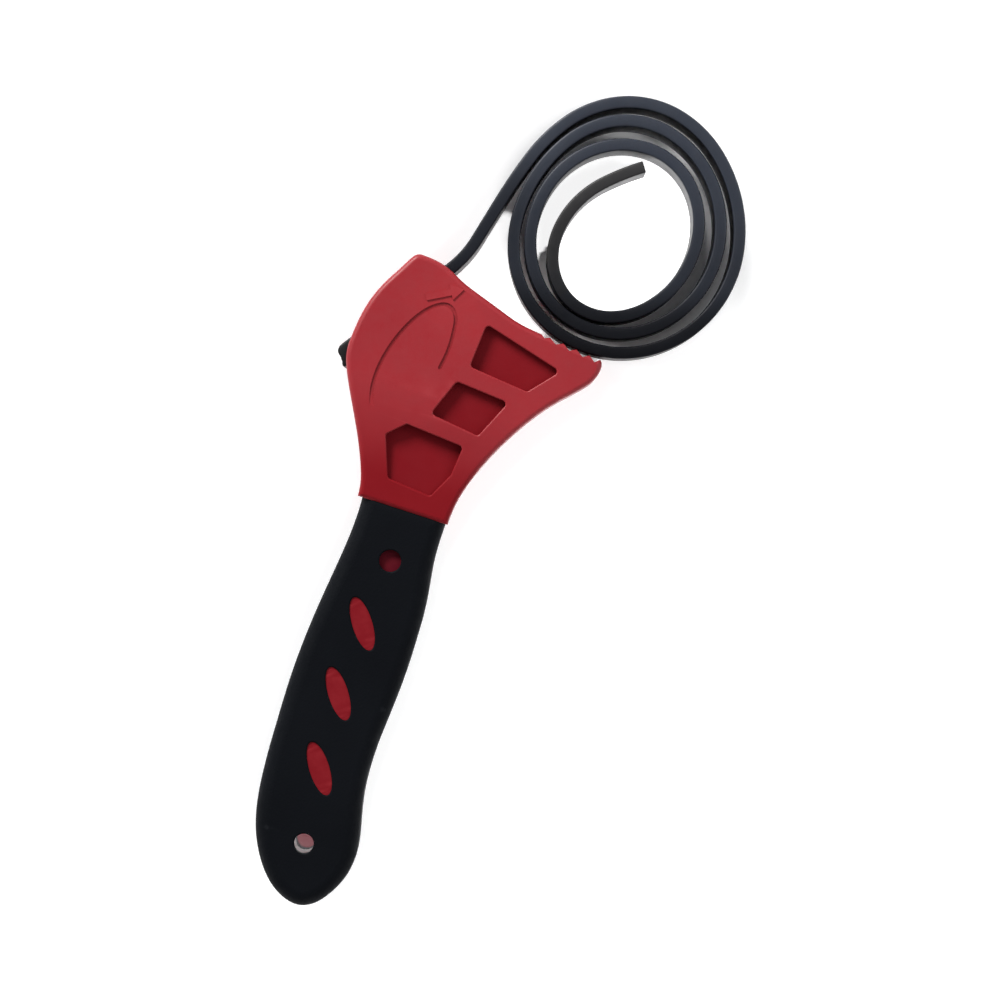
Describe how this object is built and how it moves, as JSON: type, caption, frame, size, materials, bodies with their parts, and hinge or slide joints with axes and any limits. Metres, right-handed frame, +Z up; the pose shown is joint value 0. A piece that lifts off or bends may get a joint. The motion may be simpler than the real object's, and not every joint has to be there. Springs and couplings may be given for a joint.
{
  "type": "oil filter strap wrench",
  "caption": "Strap wrench for round filters and lids: a soft hand grip, a moulded head with a toothed nose, and a flat rubber strap anchored in the head and coiled beside it.",
  "frame": {"origin": "centre of the hang hole at the end of the grip, at the middle of the handle's thickness", "axes": "+Y up the handle to the head, +X towards the toothed nose, +Z up when the wrench lies on its back"},
  "size_m": [0.0831, 0.2043, 0.0224],
  "materials": {
    "head_plastic": "satin moulded plastic",
    "grip_rubber": "matte soft grip",
    "strap_rubber": "smooth moulded rubber"
  },
  "bodies": {
    "wrench_body": {"head_core": "head_plastic", "grip_sleeve": "grip_rubber"},
    "strap_root": {"strap_root": "strap_rubber"},
    "strap_01": {"strap_01": "strap_rubber"},
    "strap_02": {"strap_02": "strap_rubber"},
    "strap_03": {"strap_03": "strap_rubber"},
    "strap_04": {"strap_04": "strap_rubber"},
    "strap_05": {"strap_05": "strap_rubber"},
    "strap_06": {"strap_06": "strap_rubber"},
    "strap_07": {"strap_07": "strap_rubber"},
    "strap_08": {"strap_08": "strap_rubber"},
    "strap_09": {"strap_09": "strap_rubber"},
    "strap_10": {"strap_10": "strap_rubber"},
    "strap_11": {"strap_11": "strap_rubber"},
    "strap_12": {"strap_12": "strap_rubber"},
    "strap_13": {"strap_13": "strap_rubber"},
    "strap_14": {"strap_14": "strap_rubber"},
    "strap_15": {"strap_15": "strap_rubber"},
    "strap_16": {"strap_16": "strap_rubber"},
    "strap_17": {"strap_17": "strap_rubber"},
    "strap_18": {"strap_18": "strap_rubber"},
    "strap_19": {"strap_19": "strap_rubber"},
    "strap_20": {"strap_20": "strap_rubber"},
    "strap_21": {"strap_21": "strap_rubber"},
    "strap_22": {"strap_22": "strap_rubber"},
    "strap_23": {"strap_23": "strap_rubber"},
    "strap_24": {"strap_24": "strap_rubber"},
    "strap_25": {"strap_25": "strap_rubber"},
    "strap_26": {"strap_26": "strap_rubber"},
    "strap_27": {"strap_27": "strap_rubber"},
    "strap_28": {"strap_28": "strap_rubber"},
    "strap_29": {"strap_29": "strap_rubber"},
    "strap_30": {"strap_30": "strap_rubber"},
    "strap_31": {"strap_31": "strap_rubber"},
    "strap_32": {"strap_32": "strap_rubber"},
    "strap_33": {"strap_33": "strap_rubber"},
    "strap_34": {"strap_34": "strap_rubber"},
    "strap_35": {"strap_35": "strap_rubber"},
    "strap_36": {"strap_36": "strap_rubber"},
    "strap_37": {"strap_37": "strap_rubber"},
    "strap_38": {"strap_38": "strap_rubber"},
    "strap_39": {"strap_39": "strap_rubber"},
    "strap_40": {"strap_40": "strap_rubber"},
    "strap_41": {"strap_41": "strap_rubber"},
    "strap_42": {"strap_42": "strap_rubber"},
    "strap_43": {"strap_43": "strap_rubber"},
    "strap_44": {"strap_44": "strap_rubber"},
    "strap_45": {"strap_45": "strap_rubber"},
    "strap_46": {"strap_46": "strap_rubber"},
    "strap_47": {"strap_47": "strap_rubber"},
    "strap_48": {"strap_48": "strap_rubber"},
    "strap_49": {"strap_49": "strap_rubber"},
    "strap_50": {"strap_50": "strap_rubber"},
    "strap_51": {"strap_51": "strap_rubber"},
    "strap_52": {"strap_52": "strap_rubber"},
    "strap_53": {"strap_53": "strap_rubber"}
  },
  "joints": [
    {"name": "strap_pull", "type": "slide", "parent": "wrench_body", "child": "strap_root", "axis": [0.5592, 0.829, 0], "range_m": [0, 0.0025]},
    {"name": "strap_uncoil", "type": "hinge", "parent": "strap_root", "child": "strap_01", "pos_m": [-0.00862, 0.13815, 0], "axis": [0, 0, 1], "range_deg": [0, 14]},
    {"name": "strap_bend_02", "type": "hinge", "parent": "strap_01", "child": "strap_02", "pos_m": [-0.00514, 0.14606, 0], "axis": [0, 0, 1], "range_deg": [0, 2.59]},
    {"name": "strap_bend_03", "type": "hinge", "parent": "strap_02", "child": "strap_03", "pos_m": [-0.00238, 0.15734, 0], "axis": [0, 0, 1], "range_deg": [0, 14.32]},
    {"name": "strap_bend_04", "type": "hinge", "parent": "strap_03", "child": "strap_04", "pos_m": [0.0009, 0.16836, 0], "axis": [0, 0, 1], "range_deg": [0, 21.22]},
    {"name": "strap_bend_05", "type": "hinge", "parent": "strap_04", "child": "strap_05", "pos_m": [0.00627, 0.17852, 0], "axis": [0, 0, 1], "range_deg": [0, 28.74]},
    {"name": "strap_bend_06", "type": "hinge", "parent": "strap_05", "child": "strap_06", "pos_m": [0.01396, 0.18542, 0], "axis": [0, 0, 1], "range_deg": [0, 30.14]},
    {"name": "strap_bend_07", "type": "hinge", "parent": "strap_06", "child": "strap_07", "pos_m": [0.02311, 0.18844, 0], "axis": [0, 0, 1], "range_deg": [0, 27.88]},
    {"name": "strap_bend_08", "type": "hinge", "parent": "strap_07", "child": "strap_08", "pos_m": [0.03236, 0.18759, 0], "axis": [0, 0, 1], "range_deg": [0, 24.74]},
    {"name": "strap_bend_09", "type": "hinge", "parent": "strap_08", "child": "strap_09", "pos_m": [0.04152, 0.18271, 0], "axis": [0, 0, 1], "range_deg": [0, 22.61]},
    {"name": "strap_bend_10", "type": "hinge", "parent": "strap_09", "child": "strap_10", "pos_m": [0.04909, 0.17404, 0], "axis": [0, 0, 1], "range_deg": [0, 21.16]},
    {"name": "strap_bend_11", "type": "hinge", "parent": "strap_10", "child": "strap_11", "pos_m": [0.05334, 0.16337, 0], "axis": [0, 0, 1], "range_deg": [0, 23.11]},
    {"name": "strap_bend_12", "type": "hinge", "parent": "strap_11", "child": "strap_12", "pos_m": [0.05343, 0.1522, 0], "axis": [0, 0, 1], "range_deg": [0, 25.03]},
    {"name": "strap_bend_13", "type": "hinge", "parent": "strap_12", "child": "strap_13", "pos_m": [0.04921, 0.14207, 0], "axis": [0, 0, 1], "range_deg": [0, 25.28]},
    {"name": "strap_bend_14", "type": "hinge", "parent": "strap_13", "child": "strap_14", "pos_m": [0.0413, 0.13438, 0], "axis": [0, 0, 1], "range_deg": [0, 25.02]},
    {"name": "strap_bend_15", "type": "hinge", "parent": "strap_14", "child": "strap_15", "pos_m": [0.03162, 0.13063, 0], "axis": [0, 0, 1], "range_deg": [0, 24.84]},
    {"name": "strap_bend_16", "type": "hinge", "parent": "strap_15", "child": "strap_16", "pos_m": [0.02144, 0.13093, 0], "axis": [0, 0, 1], "range_deg": [0, 25.15]},
    {"name": "strap_bend_17", "type": "hinge", "parent": "strap_16", "child": "strap_17", "pos_m": [0.01224, 0.13519, 0], "axis": [0, 0, 1], "range_deg": [0, 25.36]},
    {"name": "strap_bend_18", "type": "hinge", "parent": "strap_17", "child": "strap_18", "pos_m": [0.00568, 0.14251, 0], "axis": [0, 0, 1], "range_deg": [0, 25.3]},
    {"name": "strap_bend_19", "type": "hinge", "parent": "strap_18", "child": "strap_19", "pos_m": [0.00241, 0.15225, 0], "axis": [0, 0, 1], "range_deg": [0, 23.98]},
    {"name": "strap_bend_20", "type": "hinge", "parent": "strap_19", "child": "strap_20", "pos_m": [0.0031, 0.16366, 0], "axis": [0, 0, 1], "range_deg": [0, 21.89]},
    {"name": "strap_bend_21", "type": "hinge", "parent": "strap_20", "child": "strap_21", "pos_m": [0.00769, 0.17418, 0], "axis": [0, 0, 1], "range_deg": [0, 22.7]},
    {"name": "strap_bend_22", "type": "hinge", "parent": "strap_21", "child": "strap_22", "pos_m": [0.01408, 0.18069, 0], "axis": [0, 0, 1], "range_deg": [0, 24.2]},
    {"name": "strap_bend_23", "type": "hinge", "parent": "strap_22", "child": "strap_23", "pos_m": [0.02096, 0.18364, 0], "axis": [0, 0, 1], "range_deg": [0, 25.36]},
    {"name": "strap_bend_24", "type": "hinge", "parent": "strap_23", "child": "strap_24", "pos_m": [0.02964, 0.18363, 0], "axis": [0, 0, 1], "range_deg": [0, 25.83]},
    {"name": "strap_bend_25", "type": "hinge", "parent": "strap_24", "child": "strap_25", "pos_m": [0.03819, 0.17986, 0], "axis": [0, 0, 1], "range_deg": [0, 24.85]},
    {"name": "strap_bend_26", "type": "hinge", "parent": "strap_25", "child": "strap_26", "pos_m": [0.04518, 0.17245, 0], "axis": [0, 0, 1], "range_deg": [0, 24.94]},
    {"name": "strap_bend_27", "type": "hinge", "parent": "strap_26", "child": "strap_27", "pos_m": [0.04888, 0.16249, 0], "axis": [0, 0, 1], "range_deg": [0, 25.02]},
    {"name": "strap_bend_28", "type": "hinge", "parent": "strap_27", "child": "strap_28", "pos_m": [0.04842, 0.15242, 0], "axis": [0, 0, 1], "range_deg": [0, 24.89]},
    {"name": "strap_bend_29", "type": "hinge", "parent": "strap_28", "child": "strap_29", "pos_m": [0.04421, 0.14359, 0], "axis": [0, 0, 1], "range_deg": [0, 25.12]},
    {"name": "strap_bend_30", "type": "hinge", "parent": "strap_29", "child": "strap_30", "pos_m": [0.03708, 0.13731, 0], "axis": [0, 0, 1], "range_deg": [0, 25.2]},
    {"name": "strap_bend_31", "type": "hinge", "parent": "strap_30", "child": "strap_31", "pos_m": [0.02887, 0.13461, 0], "axis": [0, 0, 1], "range_deg": [0, 24.99]},
    {"name": "strap_bend_32", "type": "hinge", "parent": "strap_31", "child": "strap_32", "pos_m": [0.02091, 0.13528, 0], "axis": [0, 0, 1], "range_deg": [0, 25.32]},
    {"name": "strap_bend_33", "type": "hinge", "parent": "strap_32", "child": "strap_33", "pos_m": [0.01368, 0.13913, 0], "axis": [0, 0, 1], "range_deg": [0, 25.11]},
    {"name": "strap_bend_34", "type": "hinge", "parent": "strap_33", "child": "strap_34", "pos_m": [0.00854, 0.1455, 0], "axis": [0, 0, 1], "range_deg": [0, 24.81]},
    {"name": "strap_bend_35", "type": "hinge", "parent": "strap_34", "child": "strap_35", "pos_m": [0.00593, 0.15458, 0], "axis": [0, 0, 1], "range_deg": [0, 25.39]},
    {"name": "strap_bend_36", "type": "hinge", "parent": "strap_35", "child": "strap_36", "pos_m": [0.0072, 0.16444, 0], "axis": [0, 0, 1], "range_deg": [0, 24.8]},
    {"name": "strap_bend_37", "type": "hinge", "parent": "strap_36", "child": "strap_37", "pos_m": [0.01143, 0.17174, 0], "axis": [0, 0, 1], "range_deg": [0, 24.53]},
    {"name": "strap_bend_38", "type": "hinge", "parent": "strap_37", "child": "strap_38", "pos_m": [0.01795, 0.17671, 0], "axis": [0, 0, 1], "range_deg": [0, 25.64]},
    {"name": "strap_bend_39", "type": "hinge", "parent": "strap_38", "child": "strap_39", "pos_m": [0.02558, 0.17857, 0], "axis": [0, 0, 1], "range_deg": [0, 25.45]},
    {"name": "strap_bend_40", "type": "hinge", "parent": "strap_39", "child": "strap_40", "pos_m": [0.03223, 0.17744, 0], "axis": [0, 0, 1], "range_deg": [0, 24.49]},
    {"name": "strap_bend_41", "type": "hinge", "parent": "strap_40", "child": "strap_41", "pos_m": [0.03777, 0.17395, 0], "axis": [0, 0, 1], "range_deg": [0, 25.07]},
    {"name": "strap_bend_42", "type": "hinge", "parent": "strap_41", "child": "strap_42", "pos_m": [0.04215, 0.16762, 0], "axis": [0, 0, 1], "range_deg": [0, 25.7]},
    {"name": "strap_bend_43", "type": "hinge", "parent": "strap_42", "child": "strap_43", "pos_m": [0.04383, 0.1591, 0], "axis": [0, 0, 1], "range_deg": [0, 24.39]},
    {"name": "strap_bend_44", "type": "hinge", "parent": "strap_43", "child": "strap_44", "pos_m": [0.04212, 0.15057, 0], "axis": [0, 0, 1], "range_deg": [0, 24.6]},
    {"name": "strap_bend_45", "type": "hinge", "parent": "strap_44", "child": "strap_45", "pos_m": [0.03684, 0.14272, 0], "axis": [0, 0, 1], "range_deg": [0, 26]},
    {"name": "strap_bend_46", "type": "hinge", "parent": "strap_45", "child": "strap_46", "pos_m": [0.03057, 0.13878, 0], "axis": [0, 0, 1], "range_deg": [0, 25.22]},
    {"name": "strap_bend_47", "type": "hinge", "parent": "strap_46", "child": "strap_47", "pos_m": [0.02514, 0.13793, 0], "axis": [0, 0, 1], "range_deg": [0, 24.02]},
    {"name": "strap_bend_48", "type": "hinge", "parent": "strap_47", "child": "strap_48", "pos_m": [0.02041, 0.13903, 0], "axis": [0, 0, 1], "range_deg": [0, 25]},
    {"name": "strap_bend_49", "type": "hinge", "parent": "strap_48", "child": "strap_49", "pos_m": [0.01595, 0.14229, 0], "axis": [0, 0, 1], "range_deg": [0, 26.69]},
    {"name": "strap_bend_50", "type": "hinge", "parent": "strap_49", "child": "strap_50", "pos_m": [0.0129, 0.14771, 0], "axis": [0, 0, 1], "range_deg": [0, 25.66]},
    {"name": "strap_bend_51", "type": "hinge", "parent": "strap_50", "child": "strap_51", "pos_m": [0.01227, 0.15409, 0], "axis": [0, 0, 1], "range_deg": [0, 23.63]},
    {"name": "strap_bend_52", "type": "hinge", "parent": "strap_51", "child": "strap_52", "pos_m": [0.01443, 0.16164, 0], "axis": [0, 0, 1], "range_deg": [0, 21.79]},
    {"name": "strap_bend_53", "type": "hinge", "parent": "strap_52", "child": "strap_53", "pos_m": [0.01895, 0.16783, 0], "axis": [0, 0, 1], "range_deg": [0, 15.51]}
  ],
  "couplings": [
    {"joint": "strap_bend_02", "follows": "strap_uncoil", "ratio": 0.16394},
    {"joint": "strap_bend_03", "follows": "strap_uncoil", "ratio": 0.91175},
    {"joint": "strap_bend_04", "follows": "strap_uncoil", "ratio": 1.3523},
    {"joint": "strap_bend_05", "follows": "strap_uncoil", "ratio": 1.8316},
    {"joint": "strap_bend_06", "follows": "strap_uncoil", "ratio": 1.9209},
    {"joint": "strap_bend_07", "follows": "strap_uncoil", "ratio": 1.777},
    {"joint": "strap_bend_08", "follows": "strap_uncoil", "ratio": 1.5766},
    {"joint": "strap_bend_09", "follows": "strap_uncoil", "ratio": 1.4405},
    {"joint": "strap_bend_10", "follows": "strap_uncoil", "ratio": 1.3483},
    {"joint": "strap_bend_11", "follows": "strap_uncoil", "ratio": 1.4727},
    {"joint": "strap_bend_12", "follows": "strap_uncoil", "ratio": 1.595},
    {"joint": "strap_bend_13", "follows": "strap_uncoil", "ratio": 1.6112},
    {"joint": "strap_bend_14", "follows": "strap_uncoil", "ratio": 1.5943},
    {"joint": "strap_bend_15", "follows": "strap_uncoil", "ratio": 1.5832},
    {"joint": "strap_bend_16", "follows": "strap_uncoil", "ratio": 1.6029},
    {"joint": "strap_bend_17", "follows": "strap_uncoil", "ratio": 1.6161},
    {"joint": "strap_bend_18", "follows": "strap_uncoil", "ratio": 1.6123},
    {"joint": "strap_bend_19", "follows": "strap_uncoil", "ratio": 1.5277},
    {"joint": "strap_bend_20", "follows": "strap_uncoil", "ratio": 1.3947},
    {"joint": "strap_bend_21", "follows": "strap_uncoil", "ratio": 1.4463},
    {"joint": "strap_bend_22", "follows": "strap_uncoil", "ratio": 1.5423},
    {"joint": "strap_bend_23", "follows": "strap_uncoil", "ratio": 1.6161},
    {"joint": "strap_bend_24", "follows": "strap_uncoil", "ratio": 1.6459},
    {"joint": "strap_bend_25", "follows": "strap_uncoil", "ratio": 1.5835},
    {"joint": "strap_bend_26", "follows": "strap_uncoil", "ratio": 1.5891},
    {"joint": "strap_bend_27", "follows": "strap_uncoil", "ratio": 1.5946},
    {"joint": "strap_bend_28", "follows": "strap_uncoil", "ratio": 1.5863},
    {"joint": "strap_bend_29", "follows": "strap_uncoil", "ratio": 1.6005},
    {"joint": "strap_bend_30", "follows": "strap_uncoil", "ratio": 1.6057},
    {"joint": "strap_bend_31", "follows": "strap_uncoil", "ratio": 1.5922},
    {"joint": "strap_bend_32", "follows": "strap_uncoil", "ratio": 1.6133},
    {"joint": "strap_bend_33", "follows": "strap_uncoil", "ratio": 1.6002},
    {"joint": "strap_bend_34", "follows": "strap_uncoil", "ratio": 1.5808},
    {"joint": "strap_bend_35", "follows": "strap_uncoil", "ratio": 1.6178},
    {"joint": "strap_bend_36", "follows": "strap_uncoil", "ratio": 1.5804},
    {"joint": "strap_bend_37", "follows": "strap_uncoil", "ratio": 1.5634},
    {"joint": "strap_bend_38", "follows": "strap_uncoil", "ratio": 1.6338},
    {"joint": "strap_bend_39", "follows": "strap_uncoil", "ratio": 1.6216},
    {"joint": "strap_bend_40", "follows": "strap_uncoil", "ratio": 1.5603},
    {"joint": "strap_bend_41", "follows": "strap_uncoil", "ratio": 1.5977},
    {"joint": "strap_bend_42", "follows": "strap_uncoil", "ratio": 1.6376},
    {"joint": "strap_bend_43", "follows": "strap_uncoil", "ratio": 1.5541},
    {"joint": "strap_bend_44", "follows": "strap_uncoil", "ratio": 1.5676},
    {"joint": "strap_bend_45", "follows": "strap_uncoil", "ratio": 1.657},
    {"joint": "strap_bend_46", "follows": "strap_uncoil", "ratio": 1.6071},
    {"joint": "strap_bend_47", "follows": "strap_uncoil", "ratio": 1.5309},
    {"joint": "strap_bend_48", "follows": "strap_uncoil", "ratio": 1.5932},
    {"joint": "strap_bend_49", "follows": "strap_uncoil", "ratio": 1.7006},
    {"joint": "strap_bend_50", "follows": "strap_uncoil", "ratio": 1.6351},
    {"joint": "strap_bend_51", "follows": "strap_uncoil", "ratio": 1.5059},
    {"joint": "strap_bend_52", "follows": "strap_uncoil", "ratio": 1.3881},
    {"joint": "strap_bend_53", "follows": "strap_uncoil", "ratio": 0.98801}
  ]
}
